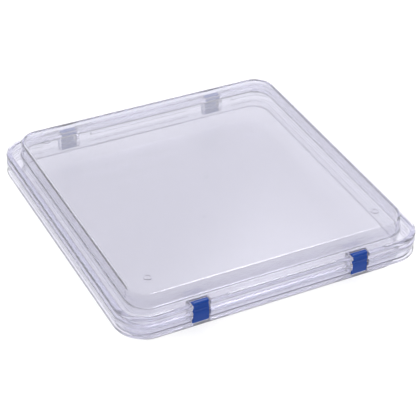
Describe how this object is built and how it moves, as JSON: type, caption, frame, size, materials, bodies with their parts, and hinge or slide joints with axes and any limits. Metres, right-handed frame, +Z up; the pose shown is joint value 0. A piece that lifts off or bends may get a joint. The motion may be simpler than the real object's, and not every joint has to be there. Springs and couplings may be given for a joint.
{
  "type": "membrane box",
  "caption": "Square clear display box whose hinged halves each hold a stretched film on a hoop, latched and hinged by blue swinging clips on moulded bars.",
  "frame": {"origin": "on the table, centre of the closed box's footprint, at the base feet's underside", "axes": "+Z up through the lid, +X along the front rim towards the right clip, +Y from the front latches to the rear hinge clips"},
  "size_m": [0.3, 0.3, 0.052],
  "materials": {
    "clear_shell": "clear moulded polystyrene, polished, very faint lavender-grey tint",
    "clear_frame": "clear moulded polystyrene hoop",
    "film": "clear elastic polyurethane film, stretched tight",
    "blue_clip": "royal blue moulded polypropylene, satin gloss"
  },
  "bodies": {
    "base": {"base_shell": "clear_shell", "base_film": "film", "base_film_frame": "clear_frame", "base_clamp_ring": "clear_frame"},
    "lid": {"lid_shell": "clear_shell", "lid_film": "film", "lid_film_frame": "clear_frame", "lid_clamp_ring": "clear_frame"},
    "front_left_latch": {"front_left_clip": "blue_clip"},
    "front_right_latch": {"front_right_clip": "blue_clip"},
    "rear_hinge": {"rear_left_clip": "blue_clip", "rear_right_clip": "blue_clip"}
  },
  "joints": [
    {"name": "front_left_latch_pivot", "type": "hinge", "parent": "base", "child": "front_left_latch", "pos_m": [-0.0795, -0.145, 0.018], "axis": [1, 0, 0], "range_deg": [0, 70]},
    {"name": "front_right_latch_pivot", "type": "hinge", "parent": "base", "child": "front_right_latch", "pos_m": [0.0795, -0.145, 0.018], "axis": [1, 0, 0], "range_deg": [0, 70]},
    {"name": "rear_clip_hinge", "type": "hinge", "parent": "base", "child": "rear_hinge", "pos_m": [0, 0.145, 0.018], "axis": [-1, 0, 0], "range_deg": [0, 90]},
    {"name": "lid_hinge", "type": "hinge", "parent": "rear_hinge", "child": "lid", "pos_m": [0, 0.145, 0.034], "axis": [-1, 0, 0], "range_deg": [0, 90]}
  ]
}
